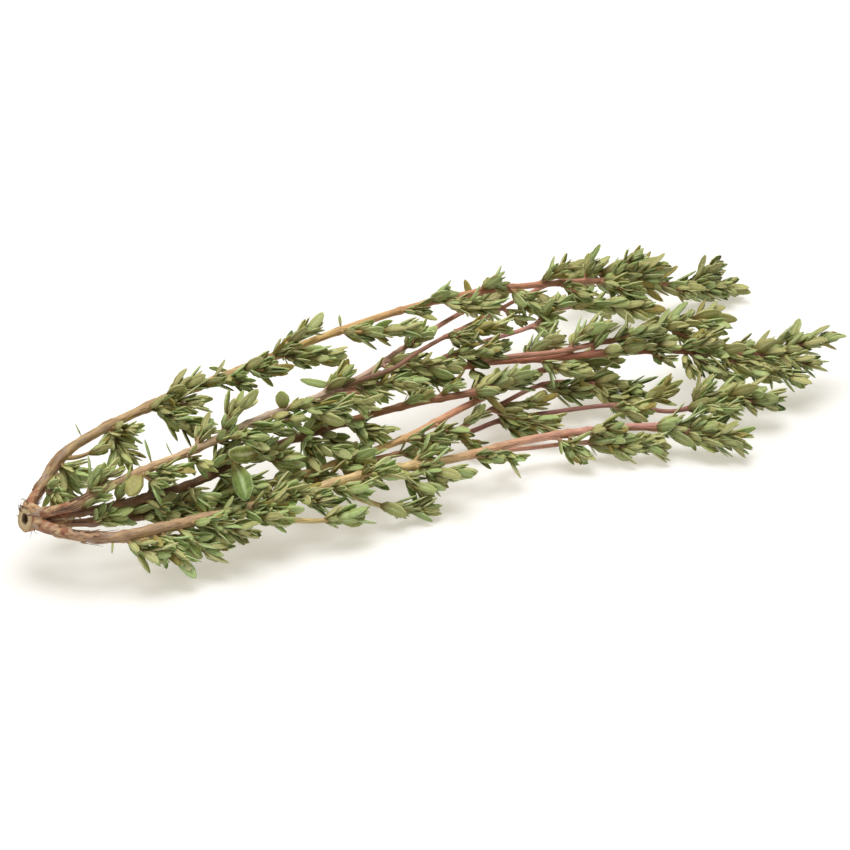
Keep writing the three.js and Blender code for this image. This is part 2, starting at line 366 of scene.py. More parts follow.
def makeBarkSurface():
    sheet = newSurface("thymeBark", barkSkin)
    colour = sheet.attribute("bark", "Color")
    rough = sheet.attribute("rough")
    along = sheet.attribute("along") * barkSkin["alongScale"]
    stretch = sheet.add("ShaderNodeCombineXYZ", {"Z": along})
    grain = sheet.vector("ADD", {0: sheet.attribute("rim", "Vector"), 1: stretch})
    fibre = sheet.noise(grain, barkSkin["fibreScale"], 4, 0.6)
    patch = sheet.noise(grain, barkSkin["patchScale"], 2)
    weather = sheet.noise(grain, barkSkin["weatherScale"], 3, 0.6)
    # the grain's pale streaks, partly painted highlight on its ridges
    light = sheet.blend(1.0, colour, barkSkin["paleFibreAndHighlight"], "MULTIPLY")
    dark = sheet.blend(1.0, colour, barkSkin["darkFibre"], "MULTIPLY")
    tone = sheet.layered(
        colour,
        (sheet.band(fibre, 0.35, 0.68), light),
        ((1 - sheet.band(fibre, 0.3, 0.5)) * (0.35 + rough * 0.6), dark),
        (sheet.band(patch, 0.55, 0.8) * 0.35, "lichen"),
        (sheet.band(weather, 0.5, 0.62) * sheet.band(rough, 0.2, 0.9) * 0.7, "weathered"),
        ((1 - sheet.band(weather, 0.36, 0.46)) * rough * 0.7, "stripped"),
        (sheet.attribute("knot") * 0.28, "knot"),
    )
    values = {"Base Color": tone, "Roughness": 0.5 + rough * 0.3, "Specular IOR Level": 0.35}
    return sheet.finish(values, fibre)


leafSurface = makeLeafSurface()
barkSurface = makeBarkSurface()
print("leaf and bark surfaces ready")


leafForm = {
    "along": (0, 0.2, 0.46, 0.74, 0.93),  # rings from the stalk to just short of the point
    "halfWidth": (0.035, 0.105, 0.16, 0.145, 0.075),
    # half of the section, from the upper midrib over the margin to the lower midrib
    "section": ((0, -0.02), (0.5, 0.22), (0.98, 0.05), (0.88, -0.32), (0.42, -0.16), (0, -0.32)),
}
leafShapes = [  # bend lifts the point, curl rolls the margins, sway turns it aside, wide scales it
    {"bend": -0.1, "curl": 1.0, "sway": 0.03, "wide": 1.0},
    {"bend": 0.06, "curl": 0.8, "sway": -0.05, "wide": 1.1},
    {"bend": -0.16, "curl": 1.3, "sway": 0.0, "wide": 0.9},
    {"bend": 0.12, "curl": 0.6, "sway": 0.05, "wide": 1.15},
    {"bend": -0.03, "curl": 1.1, "sway": -0.02, "wide": 0.8},
    {"bend": 0.02, "curl": 1.5, "sway": 0.07, "wide": 0.72},
]
roundLeaf = {"bend": -0.05, "curl": 0.4, "sway": 0.02, "wide": 1.9}  # the broad old leaves
smallForm = {
    "along": (0.05, 0.42, 0.84),
    "halfWidth": (0.05, 0.17, 0.11),
    "section": ((0, -0.02), (0.6, 0.2), (1, -0.12), (0, -0.3)),
}
smallShapes = [
    {"bend": 0.1, "curl": 1.0, "sway": 0.0, "wide": 1.0},
    {"bend": -0.08, "curl": 1.2, "sway": 0.04, "wide": 1.15},
    {"bend": 0.02, "curl": 0.8, "sway": -0.04, "wide": 0.85},
]


def makeLeaf(index, form, look):  # one unit long on +Y, its upper side on +Z
    half = [(x, z, i / (len(form["section"]) - 1)) for i, (x, z) in enumerate(form["section"])]
    loop = half + [(-x, z, mark) for x, z, mark in half[-2:0:-1]]
    spots, marks = [], []
    for along, width in zip(form["along"], form["halfWidth"]):
        wide = width * look["wide"]
        middle = look["sway"] * math.sin(along * math.pi)
        lift = look["bend"] * along**2
        for x, z, mark in loop:
            depth = z * (look["curl"] if z < 0 else 1)
            spots.append((middle + x * wide, along, lift + depth * wide))
            marks.append((along, mark))
    sides = len(loop)
    last = (len(form["along"]) - 1) * sides
    spots += [(0, -0.01, 0), (0, 1, look["bend"])]
    marks += [(0, 0.5), (1, 0.5)]
    faces = []
    for ring in range(0, last, sides):
        faces += [(ring + a, ring + b, ring + b + sides, ring + a + sides) for a, b in ringPairs(sides)]
    for a, b in ringPairs(sides):
        faces += [(a, len(spots) - 2, b), (last + a, last + b, len(spots) - 1)]
    mesh = bpy.data.meshes.new(f"leafShape{index}")
    mesh.from_pydata(spots, [], faces)
    uv = mesh.uv_layers.new(name="leafMap")
    for corner in mesh.loops:
        uv.data[corner.index].uv = marks[corner.vertex_index]
    reshape(mesh, faceOutwards)
    return bpy.data.objects.new(f"leafShape{index}", mesh)


leafShelf = bpy.data.collections.new("leafShelf")
patterns = [(leafForm, look) for look in [*leafShapes, roundLeaf]]
patterns += [(smallForm, look) for look in smallShapes]
for number, (form, look) in enumerate(patterns):
    leafShelf.objects.link(makeLeaf(number, form, look))
print("leaf shapes ready:", len(patterns))


# Stems and twigs are swept along lines, and a leaf stands on every loose point.
sproutLook = {
    "Corner": 0.42,  # rounding of the square stem's corners, as a share of its half width
    "Relief": 0.1,  # height of the bark's ridges, as a share of the radius
    "Seed": 7.0,
}
carried = dict.fromkeys(("thick", "along", "rough", "knot", "isLeaf", "tint", "wilt"), "FLOAT")
carried |= {"bark": "FLOAT_COLOR", "turn": "FLOAT_VECTOR", "size": "FLOAT_VECTOR", "shape": "INT"}
spentNames = ("thick", "isLeaf", "turn", "size", "shape")  # not needed on a grown piece


def makeSproutTree():
    tree = bpy.data.node_groups.new("sprout", "GeometryNodeTree")
    face = tree.interface
    given = {"Geometry": "Geometry", **dict.fromkeys(sproutLook, "Float")}
    given |= {"Leaf shapes": "Collection", "Bark": "Material", "Leaf": "Material"}
    for name, kind in given.items():
        face.new_socket(name, in_out="INPUT", socket_type=f"NodeSocket{kind}")
    face.new_socket("Geometry", in_out="OUTPUT", socket_type="NodeSocketGeometry")
    sheet = Sheet(tree)

    def taken(name):
        return sheet.add("NodeGroupInput", output=name)

    def named(name):
        kind = carried.get(name, "FLOAT_VECTOR")
        return sheet.add("GeometryNodeInputNamedAttribute", {"Name": name}, data_type=kind)

    square = sheet.add("GeometryNodeCurvePrimitiveQuadrilateral", {"Width": 1.8, "Height": 1.8})
    values = {"Curve": square, "Radius": taken("Corner") * 2, "Limit Radius": True, "Count": 3}
    section = sheet.add("GeometryNodeFilletCurve", values, mode="POLY")
    spot = sheet.add("GeometryNodeInputPosition")
    values = {"Geometry": section, "Name": "rim", "Value": spot}
    section = sheet.add("GeometryNodeStoreNamedAttribute", values, data_type="FLOAT_VECTOR")
    lines = sheet.add("GeometryNodeMeshToCurve", {"Mesh": taken("Geometry")})
    values = {"Curve": lines, "Profile Curve": section, "Scale": named("thick"), "Fill Caps": True}
    rods = sheet.add("GeometryNodeCurveToMesh", values)

    # ridges along the bark, higher on the rough wood near the crown
    stretch = sheet.add("ShaderNodeCombineXYZ", {"Z": named("along") * 400 + taken("Seed")})
    grain = sheet.vector("ADD", {0: named("rim"), 1: stretch})
    ridge = (sheet.noise(grain, 1.7, 3) - 0.5) * named("thick")
    ridge = ridge * taken("Relief") * (1 + named("rough") * 6)
    outward = sheet.add("GeometryNodeInputNormal")
    shift = sheet.vector("SCALE", {0: outward, "Scale": ridge})
    rods = sheet.add("GeometryNodeSetPosition", {"Geometry": rods, "Offset": shift})

    values = {"Collection": taken("Leaf shapes"), "Separate Children": True}
    shelf = sheet.add("GeometryNodeCollectionInfo", values)
    values = {
        "Points": taken("Geometry"),
        "Selection": named("isLeaf"),
        "Instance": shelf,
        "Pick Instance": True,
        "Instance Index": named("shape"),
        "Rotation": sheet.add("FunctionNodeEulerToRotation", {0: named("turn")}),
        "Scale": named("size"),
    }
    leaves = sheet.add("GeometryNodeInstanceOnPoints", values)
    both = sheet.add("GeometryNodeJoinGeometry", {0: leaves})
    tree.links.new(rods.socket, both.socket.node.inputs[0])
    whole = sheet.add("GeometryNodeRealizeInstances", {"Geometry": both})
    whole = sheet.add("GeometryNodeSetShadeSmooth", {"Geometry": whole})
    whole = sheet.add("GeometryNodeSetMaterial", {"Geometry": whole, "Material": taken("Bark")})
    values = {"Geometry": whole, "Selection": named("isLeaf"), "Material": taken("Leaf")}
    whole = sheet.add("GeometryNodeSetMaterial", values)
    sheet.add("NodeGroupOutput", {"Geometry": whole})
    return tree


sproutTree = makeSproutTree()


def growPiece(name, strands, leaves, nodes=()):
    # strands are lists of points with what they carry, leaves are single such points
    points = [point for strand in strands for point in strand] + leaves
    edges = []
    first = 0
    for strand in strands:
        edges += [(first + i, first + i + 1) for i in range(len(strand) - 1)]
        first += len(strand)
    mesh = bpy.data.meshes.new(name)
    mesh.from_pydata([point["place"] for point in points], edges, [])
    wide = {"FLOAT_VECTOR": ("vector", (0,) * 3), "FLOAT_COLOR": ("color", (0,) * 4)}
    for label, kind in carried.items():
        field, blank = wide.get(kind, ("value", 0))
        data = [point.get(label, blank) for point in points]
        layer = mesh.attributes.new(label, kind, "POINT")
        layer.data.foreach_set(field, np.array(data).ravel())
    holder = linked(name, mesh)
    modifier = holder.modifiers.new("sprout", "NODES")
    modifier.node_group = sproutTree
    inputs = {**sproutLook, "Leaf shapes": leafShelf, "Bark": barkSurface, "Leaf": leafSurface}
    for item in sproutTree.interface.items_tree:
        if item.in_out == "INPUT" and item.name in inputs:
            modifier[item.identifier] = inputs[item.name]
    grown = applied(holder, name)
    for label in spentNames:
        if label in grown.attributes:
            grown.attributes.remove(grown.attributes[label])
    piece = linked(name, grown)
    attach(piece, "root")
    if nodes:
        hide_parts(*nodes)
    return piece


class Route:  # a smooth line, read by the distance along it
    spanSteps = 24

    def __init__(self, points):
        points = np.array(points, float)
        ends = [2 * points[0] - points[1], *points, 2 * points[-1] - points[-2]]
        share = np.linspace(0, 1, self.spanSteps, endpoint=False)[:, None]
        track = []
        for a, b, c, d in zip(ends, ends[1:], ends[2:], ends[3:]):
            before, here, after = (np.linalg.norm(q - p) ** 0.5 for p, q in ((a, b), (b, c), (c, d)))
            leaving = ((b - a) / before - (c - a) / (before + here) + (c - b) / here) * here
            entering = ((c - b) / here - (d - b) / (here + after) + (d - c) / after) * here
            square = -3 * b + 3 * c - 2 * leaving - entering
            cube = 2 * b - 2 * c + leaving + entering
            track.append(b + leaving * share + square * share**2 + cube * share**3)
        self.track = np.vstack([*track, points[-1:]])
        steps = np.linalg.norm(np.diff(self.track, axis=0), axis=1)
        self.marks = np.concatenate([[0], np.cumsum(steps)])
        self.length = float(self.marks[-1])

    def point(self, distance):
        return Vector([float(np.interp(distance, self.marks, self.track[:, i])) for i in range(3)])

    def heading(self, distance):
        ahead = self.point(min(distance + 0.5 * mm, self.length))
        return (ahead - self.point(max(distance - 0.5 * mm, 0))).normalized()

    def outward(self, distance, turn):  # square to the line, 0 up and 90 degrees to the front
        return leaning(*squareTo(self.heading(distance)), math.radians(turn))


# Every stem, in mm and degrees. radii: at its two ends. limb: how far the crown's wood follows it.
# tip: the length of its leafy end. route: from the cut end of the bundle. shoots and tufts: distance
# along the stem, turn about it (0 up, 90 to the front), lean away from it, reach and, for some, the
# bare share of the twig. single: distance, turn, lean, length, kind, age and, for some, a stalk.
stems = {}
stems[1] = {
    "radii": (1.4, 0.75), "limb": 9, "tip": 44,
    "bark": ("#b49a76", "#c4a678", "#d2b074", "#c48a6a", "#c48c74", "#b47c6c"),
    "route": [
        (0, 4, 14), (6, 9, 16), (13, 13, 20), (22, 14, 23), (38, 15, 26), (60, 18, 27), (82, 23, 27),
        (107, 28, 26), (129, 31, 24), (152, 34, 19.5), (173, 38, 13.5), (199, 37, 6), (212, 35, 2.8),
    ],
    "shoots": [
        (16, 160, 125, 13), (29, 130, 90, 10), (41, 115, 65, 14), (73, 30, 30, 14), (78, 90, 60, 13),
        (94, 80, 50, 19), (125, 90, 50, 15), (137, 25, 22, 8), (147, 110, 65, 12),
    ],
    "tufts": [
        (44, 20, 10, 10), (8, 95, 110, 7), (66, 80, 65, 9), (113, 75, 60, 7), (121, 30, 20, 8),
        (157, 15, 30, 12), (17, 120, 30, 12, 0.6), (13, 120, 135, 7), (15, 105, 90, 8), (30, 100, 55, 7),
        (39, 70, 25, 7), (53, 65, 25, 6), (58, 75, 30, 6), (64, 70, 25, 8), (30, 135, 110, 9),
        (41, 110, 75, 9), (44, 95, 50, 9), (61, 105, 75, 6), (76, 95, 70, 6), (148, 115, 70, 9),
        (164, 100, 70, 9), (174, -20, 75, 8), (179, 90, 60, 12), (183, 5, 55, 11), (189, 20, 40, 11),
        (203, 100, 55, 7), (209, 0, 50, 10), (210, 55, 25, 10), (210, 80, 40, 8),
    ],
    "single": [(23, -35, 80, 3, "small", 0), (62, -70, 130, 6, "full", 0), (95, -30, 80, 4, "full", 0.2)],
}
stems[2] = {
    "radii": (1.25, 0.6), "limb": 13, "tip": 14,
    "bark": ("#b49474", "#d2b084", "#ccb6a2", "#c6a896", "#c89484", "#b88476"),
    "route": [
        (1, 1, 15), (7, -2.5, 16.5), (13, -3, 18), (25, -2, 20), (39, -2, 22), (55, 1.5, 23), (70, 4, 23),
        (86, 9.5, 22), (100, 17, 21.5), (119, 27.5, 20), (131, 34, 18.5), (140, 38.5, 17),
    ],
    "shoots": [(47, -15, 40, 10), (68, 95, 60, 11), (76, 10, 35, 8), (86, 85, 65, 15), (106, 50, 70, 8)],
    "tufts": [
        (16, -40, 35, 7), (40, -35, 40, 7), (78, 100, 80, 11), (99, 90, 70, 18), (44, 75, 30, 6),
        (64, 70, 25, 7), (13, -15, 40, 8), (26, 105, 75, 7), (29, 95, 55, 8), (37, 105, 75, 7),
        (49, 95, 70, 8), (54, 90, 60, 9), (60, 90, 60, 9), (71, 100, 70, 10), (78, 15, 50, 7),
        (85, 100, 80, 9), (97, 110, 90, 13), (103, 110, 85, 16),
    ],
    "single": [
        (29, -35, 85, 5, "full", 0), (34, -40, 100, 5, "full", 0), (26, 120, 140, 6.6, "round", 0.62),
        (64, 0, 95, 5, "round", 0.3), (81, -80, 125, 9, "slim", 0),
    ],
}
stems[3] = {
    "radii": (0.62, 0.5), "tip": 34,
    "bark": ("#7c5c48", "#b07c6a", "#c88c7c", "#b47668"),
    "route": [
        (80, 6, 22.7), (84, 3.5, 25), (92, 4, 25.5), (100, 9, 24.5), (111, 16, 22.5), (132, 28, 18.5),
        (152, 39, 15.5), (170, 48, 11), (195, 51, 6),
    ],
    "shoots": [(44, 75, 70, 13)],
    "tufts": [(39, 80, 85, 7), (67, 115, 90, 7), (84, 140, 100, 10)],
}
stems[4] = {
    "radii": (0.7, 0.55), "tip": 26,
    "bark": ("#c08c7c", "#cc9488", "#b88274"),
    "route": [
        (77, 5.5, 22.5), (83, 9, 20), (91, 9, 18.5), (104, 13, 18), (122, 18.5, 17), (142, 23.5, 15),
        (154, 29.5, 14), (167, 31, 11.5), (180, 27, 8),
    ],
    "shoots": [(40, 75, 60, 12), (70, 25, 35, 10)],
    "tufts": [(38, 60, 65, 6), (68, 90, 70, 7)],
}
stems[5] = {
    "radii": (1.05, 0.9), "tip": 36,
    "bark": ("#b0806a", "#c8927a", "#c08068", "#9c6450", "#b06c60"),
    "route": [
        (67, 4, 23), (71, 7.5, 20.5), (78, 11, 18), (92, 14.5, 15), (111, 15.5, 14), (122, 13.5, 14.5),
        (138, 5.5, 15.5), (155, 1, 15), (173, -4.5, 13), (184, -11, 12), (205, -14.5, 13),
    ],
    "shoots": [(56, 125, 90, 8), (69, -60, 35, 11), (111, 115, 40, 15)],
    "tufts": [
        (58, -40, 30, 9), (98, 25, 20, 9), (88, 45, 15, 9), (73, 115, 25, 12), (119, 105, 25, 12),
        (86, -25, 65, 8), (93, -15, 40, 11), (101, 105, 50, 6), (108, 30, 25, 9), (110, 130, 85, 6),
        (111, -15, 35, 9), (120, -35, 30, 6), (124, 120, 35, 11), (129, 125, 50, 12), (132, -15, 40, 7),
        (133, 115, 40, 12),
    ],
    "single": [(72, -30, 85, 4, "full", 0)],
}
stems[6] = {
    "radii": (0.8, 0.6), "tip": 26,
    "bark": ("#bc8872", "#b67a6c"),
    "route": [
        (122, 13.5, 14.5), (127, 9, 17), (137, 5, 17.5), (148, 4, 17.5), (160, 4, 16.5), (174, 7, 15),
        (187, 10, 13.5),
    ],
    "shoots": [(33, 55, 40, 13)],
    "tufts": [(22, -25, 25, 12), (52, 105, 65, 11), (60, 100, 65, 9)],
}
stems[7] = {
    "radii": (1.1, 0.9), "limb": 13, "tip": 14,
    "bark": ("#94704e", "#785a40", "#8a6648", "#a87854", "#a87464"),
    "route": [
        (0, 2, 13.5), (7, -1, 14), (16, -3, 14), (36, -4.5, 15), (52, -0.5, 15.5), (77, 2.5, 15.5),
        (98, 2.5, 15.5), (112, 0.5, 15.5), (124, 2, 15.5),
    ],
    "shoots": [(42, 5, 35, 11), (44, 100, 70, 13), (56, 90, 65, 10)],
    "tufts": [
        (68, 100, 65, 11), (68, 125, 95, 9), (80, 95, 60, 11), (12, 5, 45, 8), (20, -20, 60, 6),
        (26, 100, 65, 7), (27, -10, 40, 8), (36, 105, 85, 7), (51, 60, 35, 9), (59, 105, 75, 8),
        (68, 20, 35, 9), (73, 110, 70, 9), (81, 105, 60, 10), (95, 30, 25, 8), (105, -5, 35, 7),
    ],
    "single": [(50, 110, 115, 12, "big", 0.05, 6), (58, 20, 160, 11, "big", 0.3, 7)],
}
stems[8] = {
    "radii": (1.05, 0.85), "limb": 11, "tip": 16,
    "bark": ("#98745a", "#82644a", "#b8946c", "#eecb8c", "#dc9f80", "#cc8e80", "#c0867a"),
    "route": [
        (0, 2, 12.5), (6, 0, 11.5), (14, -2, 10.5), (31, -3.5, 9), (50, -4, 9), (73, -5.5, 10.5),
        (89, -5.5, 12), (107, -0.5, 12.5), (128, 7, 11), (137, 9.5, 10.5), (156, 7.5, 9),
    ],
    "shoots": [(22, 0, 30, 9), (73, 110, 50, 11), (90, 75, 55, 11)],
    "tufts": [
        (31, 85, 45, 10), (31, 35, 45, 9), (40, 40, 40, 10), (64, 95, 40, 10), (75, -60, 15, 7),
        (120, 30, 35, 9), (124, 55, 70, 9), (14, 20, 45, 7), (14, 50, 30, 8), (25, 70, 50, 8),
        (28, -15, 60, 6), (39, 80, 40, 9), (43, 90, 55, 8), (56, 40, 20, 8), (60, 110, 60, 9),
        (72, 70, 35, 9), (80, 110, 65, 9), (100, 100, 80, 8),
    ],
    "single": [(52, 110, 110, 6.5, "round", 0.68)],
}
stems[9] = {
    "radii": (0.8, 0.55), "tip": 18,
    "bark": ("#c4a078", "#ca9282", "#c08478"),
    "route": [
        (71, -5.5, 10.5), (76, -3, 8.2), (85, -3, 7), (97, -3, 7), (107, -1, 7.5), (119, 3, 8),
        (137, 8, 7.5), (144, 4.5, 7.5), (155, -5.5, 7.5),
    ],
    "shoots": [(49, 100, 65, 16)],
    "tufts": [
        (52, 95, 35, 13), (19, 70, 45, 8), (38, 30, 50, 6), (67, 95, 50, 12), (80, 130, 25, 13),
        (82, 135, 40, 13),
    ],
}
stems[10] = {
    "radii": (0.75, 0.55), "tip": 24,
    "bark": ("#a4746a", "#9c6c60"),
    "route": [
        (100, -2.5, 7), (105, 0.5, 4.7), (113, 2, 4), (120, 3, 4), (132, -1, 5), (148, -7.5, 6),
        (157, -17, 6.5), (173, -19.5, 8), (181, -25, 7),
    ],
    "shoots": [(50, 90, 25, 10), (57, -60, 60, 10)],
    "tufts": [
        (9, 95, 90, 5), (22, 100, 65, 9), (57, -50, 50, 7), (70, -15, 40, 8), (72, 105, 40, 10),
        (81, 110, 25, 11),
    ],
}
stems[11] = {
    "radii": (1.5, 0.95), "limb": 9, "tip": 22,
    "bark": ("#b89474", "#bc9c78", "#dcc090", "#d8be86", "#d0a082", "#cc9084", "#b88878"),
    "route": [
        (1, 0, 13), (6, -7, 12.5), (14, -12, 12), (26, -13, 11.5), (50, -13.5, 10.5), (75, -13, 10.5),
        (98, -14.5, 9), (118, -14, 8), (134, -16, 7), (146, -19.5, 6.5), (156, -26, 6), (165, -34, 5),
    ],
    "shoots": [
        (15, -125, 15, 28, 0.45), (51, 108, 24, 25.5, 0.7), (72, 130, 34, 24, 0.5), (92, 85, 40, 13),
        (130, 120, 60, 9),
    ],
    "tufts": [
        (21, 125, 45, 10), (29, 125, 75, 8), (48, 95, 45, 11), (88, 120, 60, 10), (54, -5, 15, 10),
        (62, 95, 55, 9), (70, 90, 50, 10), (78, 65, 45, 10), (92, -25, 25, 9), (107, 85, 55, 7),
        (138, 60, 35, 9), (36, 75, 30, 8), (41, 65, 25, 8), (50, 70, 25, 9), (59, 60, 22, 8),
        (27, 125, 65, 11), (33, 125, 55, 11), (39, 95, 50, 12), (51, 50, 25, 6), (55, 100, 70, 6),
        (63, 90, 50, 7), (93, 110, 60, 8), (114, 110, 75, 7), (133, 120, 85, 6), (162, 110, 15, 12),
        (162, -55, 15, 9),
    ],
    "single": [(18, 115, 90, 3, "small", 0.3)],
}
stems[12] = {
    "radii": (0.7, 0.5), "tip": 18,
    "bark": ("#c6967e", "#c08a7a"),
    "route": [
        (107, -14.5, 8.5), (111, -12.5, 6.3), (119, -13, 5), (130, -15.5, 4.5), (140, -20.5, 4.5),
        (147, -25.5, 4),
    ],
    "shoots": [],
    "tufts": [(32, 110, 20, 9), (38, -15, 15, 7)],
}

stemLook = {
    "ring": 0.7 * mm,  # distance between two rings
    "swelling": 0.22,  # how much thicker a stem is where something grows from it
    "swellingLength": 1.1 * mm,
    "mostSwollen": 1.2,  # what swellings close together add up to at most
    "woodyUntil": 60 * mm,  # from the cut end: rough bark before it, smooth after it
    "seed": 100,  # the stem's number is added to it
}
twigLook = {
    "ring": 0.6 * mm,
    "radius": (0.62 * mm, 0.36 * mm),
    "stalk": 0.3 * mm,
    "foot": 0.6,  # where a twig begins, as a share of the stem's radius
    "elbow": 0.6,  # how much more steeply a side shoot leaves its stem than it ends
    "bends": 6,
    "leafReach": 4.4 * mm,  # how far the leaves stand out past the end of a twig
    "shortest": 3 * mm,
    "full": 18 * mm,  # twigs with less reach than half of this have smaller leaves
    "bark": ("#8f7548", "#96604a"),
    "stemShare": 0.55,  # how much of the stem's colour a twig takes
    "long": 20 * mm,  # side shoots with more reach than this are thicker and straw coloured
    "longBark": ("#e2cc8c", "#b0965c"),
    "longStemShare": 0.15,
    "longSwell": 1.35,
}
tipFoliage = {
    "step": 2.6 * mm,
    "first": 1.2 * mm,
    "size": (7.7 * mm, 7 * mm),
    "spread": (43, 27),  # lean of the first and the last pair
    "inner": 6,  # small leaves in the angle of each leaf
    "crest": 11,  # young leaves at the very end
    "fan": 38,  # the widest angle between them and the twig
    "tint": (0.2, 0.6),
    "overlap": 0.4 * mm,  # how far the tip's twig goes back into the bark
    "leafReach": 3.6 * mm,
}
shootFoliage = {
    "step": 2.2 * mm, "first": 0.8 * mm, "size": (5.9 * mm, 6.3 * mm), "spread": (44, 25),
    "inner": 6, "crest": 9, "fan": 34, "tint": (0.1, 0.75),
}
tuftFoliage = {
    "step": 2.0 * mm, "first": 0.6 * mm, "size": (5.5 * mm, 5.9 * mm), "spread": (44, 27),
    "inner": 5, "crest": 8, "fan": 36, "tint": (0.1, 0.75),
}
leafHabit = {
    "turnSpread": 16,  # degrees of chance in the turn about the twig
    "leanSpread": 11,
    "leastLean": 8,
    "rollSpread": 22,
    "sizeSpread": 0.2,
    "longest": 0.2,
    "width": (0.85, 1.2),
    "depth": (0.9, 1.15),
    "foot": 0.5,  # where a leaf stands, as a share of the twig's radius
    "sweep": 0.3,
    "floor": 0.35 * mm,  # the least height of a leaf's point
    "halfDepth": 0.12,  # what a leaf needs below its middle line, as a share of its length
    "rise": (-0.9, 0.6),  # the least and most that a leaf by the floor is turned up
    "tintSpread": 0.24,
    "wiltRange": 0.45,  # how far the fresh leaves may be wilted
    "oldShare": 0.06,
    "oldWilt": (0.6, 1),
    "toTip": 200 * mm,  # over this length from the cut end the leaves grow darker and warmer
    "tintShift": (0.2, -0.16),
    "wiltShift": (0, 0.08),
}
pairHabit = {  # inner: the small leaves beside a leaf, crest: the young leaves at the very end
    "firstTurn": (20, 70),
    "twist": (-12, 12),  # added to the square between two pairs
    "innerTurn": (-60, 60),
    "innerSize": (0.45, 0.85),
    "innerShift": (0, 0.8),
    "innerLean": (0.35, 1),
    "innerTint": (-0.2, 0.3),
    "crestTurn": (-20, 20),
    "crestSize": (0.5, 0.95),
    "crestLean": 6,
    "crestTint": 0.25,
}
singleLook = {
    "front": (-0.42, -0.76, 0.5),  # where the broad leaves face and the stalks grow
    "foot": 0.7,  # where the leaf stands, as a share of the stem's radius
    "tint": {"round": 0.85, "big": 0.3},
    "usualTint": 0.5,
    "slim": 0.6,  # width of a slim and of a broad leaf, as a share of the usual one
    "broad": 1.1,
    "bigShape": 1,
    "overlap": 0.2 * mm,  # how far the leaf stands over the end of its stalk
}


def leafPoint(rng, base, along, side, lean, length, tint, kind="full", sweep=None):
    # one leaf: base is on the twig, side is square to it and lean is the angle between twig and leaf
    direction = leaning(along, side, math.radians(lean))
    if sweep:  # leaves turn towards the way that the whole stem grows
        direction = (direction + sweep * leafHabit["sweep"]).normalized()
    length *= 1 + min(rng.gauss(0, leafHabit["sizeSpread"]), leafHabit["longest"])
    lowest = (leafHabit["floor"] + leafHabit["halfDepth"] * length - base.z) / length
    if direction.z < lowest:
        flat = Vector((direction.x, direction.y, 0)).normalized()
        least, most = leafHabit["rise"]
        rise = min(max(lowest, least), most)
        direction = flat * math.sqrt(1 - rise**2) + up * rise
    facing = squarePart(along, direction)
    roll = math.radians(rng.gauss(0, leafHabit["rollSpread"]))
    facing.rotate(Matrix.Rotation(roll, 3, direction))
    wilt = rng.random()
    tipward = min(max((base - bundleOrigin).x / leafHabit["toTip"], 0), 1)
    tint += between(leafHabit["tintShift"], tipward)
    isOld = rng.random() < leafHabit["oldShare"]
    wide = rng.uniform(*leafHabit["width"])
    full = rng.randrange(len(leafShapes))
    small = len(leafShapes) + 1 + rng.randrange(len(smallShapes))
    deep = rng.uniform(*leafHabit["depth"])
    tint = min(max(tint + rng.gauss(0, leafHabit["tintSpread"]), 0), 1)
    fresh = wilt * leafHabit["wiltRange"] + between(leafHabit["wiltShift"], tipward)
    return {
        "place": base,
        "isLeaf": 1,
        "turn": turnOf(direction, facing),
        "size": (length * wide, length, length * deep),
        "shape": {"full": full, "round": len(leafShapes), "small": small}[kind],
        "tint": tint,
        "wilt": rng.uniform(*leafHabit["oldWilt"]) if isOld else fresh,
    }


def leavesAlong(rng, route, start, end, foliage, radius, tint, scale=1, sweep=None):
    # opposite pairs of leaves, each pair square to the last, with small leaves in their angles
    leaves = []

    def put(distance, base, side, lean, length, tone, kind="full"):
        along = route.heading(distance)
        leaves.append(leafPoint(rng, base, along, side, lean, length * scale, tone, kind, sweep))

    def chance(name):
        return rng.uniform(*pairHabit[name])

    first = start + foliage["first"]
    pairs = max(2, round((end - first) / foliage["step"]) + 1)
    turn = chance("firstTurn")
    for i in range(pairs):
        share = i / (pairs - 1)
        distance = first + (end - first) * share
        length = between(foliage["size"], share)
        spread = between(foliage["spread"], share)
        for half in (0, 180):
            aim = turn + half + rng.gauss(0, leafHabit["turnSpread"])
            side = route.outward(distance, aim)
            base = route.point(distance) + side * radius * leafHabit["foot"]
            lean = max(leafHabit["leastLean"], spread + rng.gauss(0, leafHabit["leanSpread"]))
            put(distance, base, side, lean, length, tint)
            for _ in range(foliage["inner"]):
                side = route.outward(distance, aim + chance("innerTurn"))
                small = length * chance("innerSize")
                place = route.point(distance + chance("innerShift") * mm)
                base = place + side * radius * leafHabit["foot"]
                tilt = lean * chance("innerLean")
                put(distance, base, side, tilt, small, tint + chance("innerTint"), "small")
        turn += 90 + chance("twist")
    for i in range(foliage["crest"]):
        side = route.outward(end, 360 * i / foliage["crest"] + chance("crestTurn"))
        length = foliage["size"][1] * chance("crestSize")
        lean = rng.uniform(pairHabit["crestLean"], foliage["fan"])
        put(end, route.point(end), side, lean, length, tint + pairHabit["crestTint"])
    return leaves


def rodAlong(route, start, end, radiusAt, ring, colourAt, swollen=(), woody=0):
    # a swept rod as one strand, thicker at the swollen places
    count = max(2, math.ceil((end - start) / ring))
    strand = []
    for i in range(count + 1):
        distance = start + (end - start) * i / count
        near = [math.exp(-(((distance - spot) / stemLook["swellingLength"]) ** 2)) for spot in swollen]
        bulge = min(stemLook["mostSwollen"], sum(near))
        place = route.point(distance)
        away = place.x - bundleOrigin.x
        strand.append(
            {
                "place": place,
                "thick": radiusAt(distance) * (1 + stemLook["swelling"] * bulge),
                "along": distance,
                "rough": woody * max(0, 1 - away / stemLook["woodyUntil"]),
                "knot": min(1, bulge),
                "bark": colourAt(distance),
            }
        )
    return strand


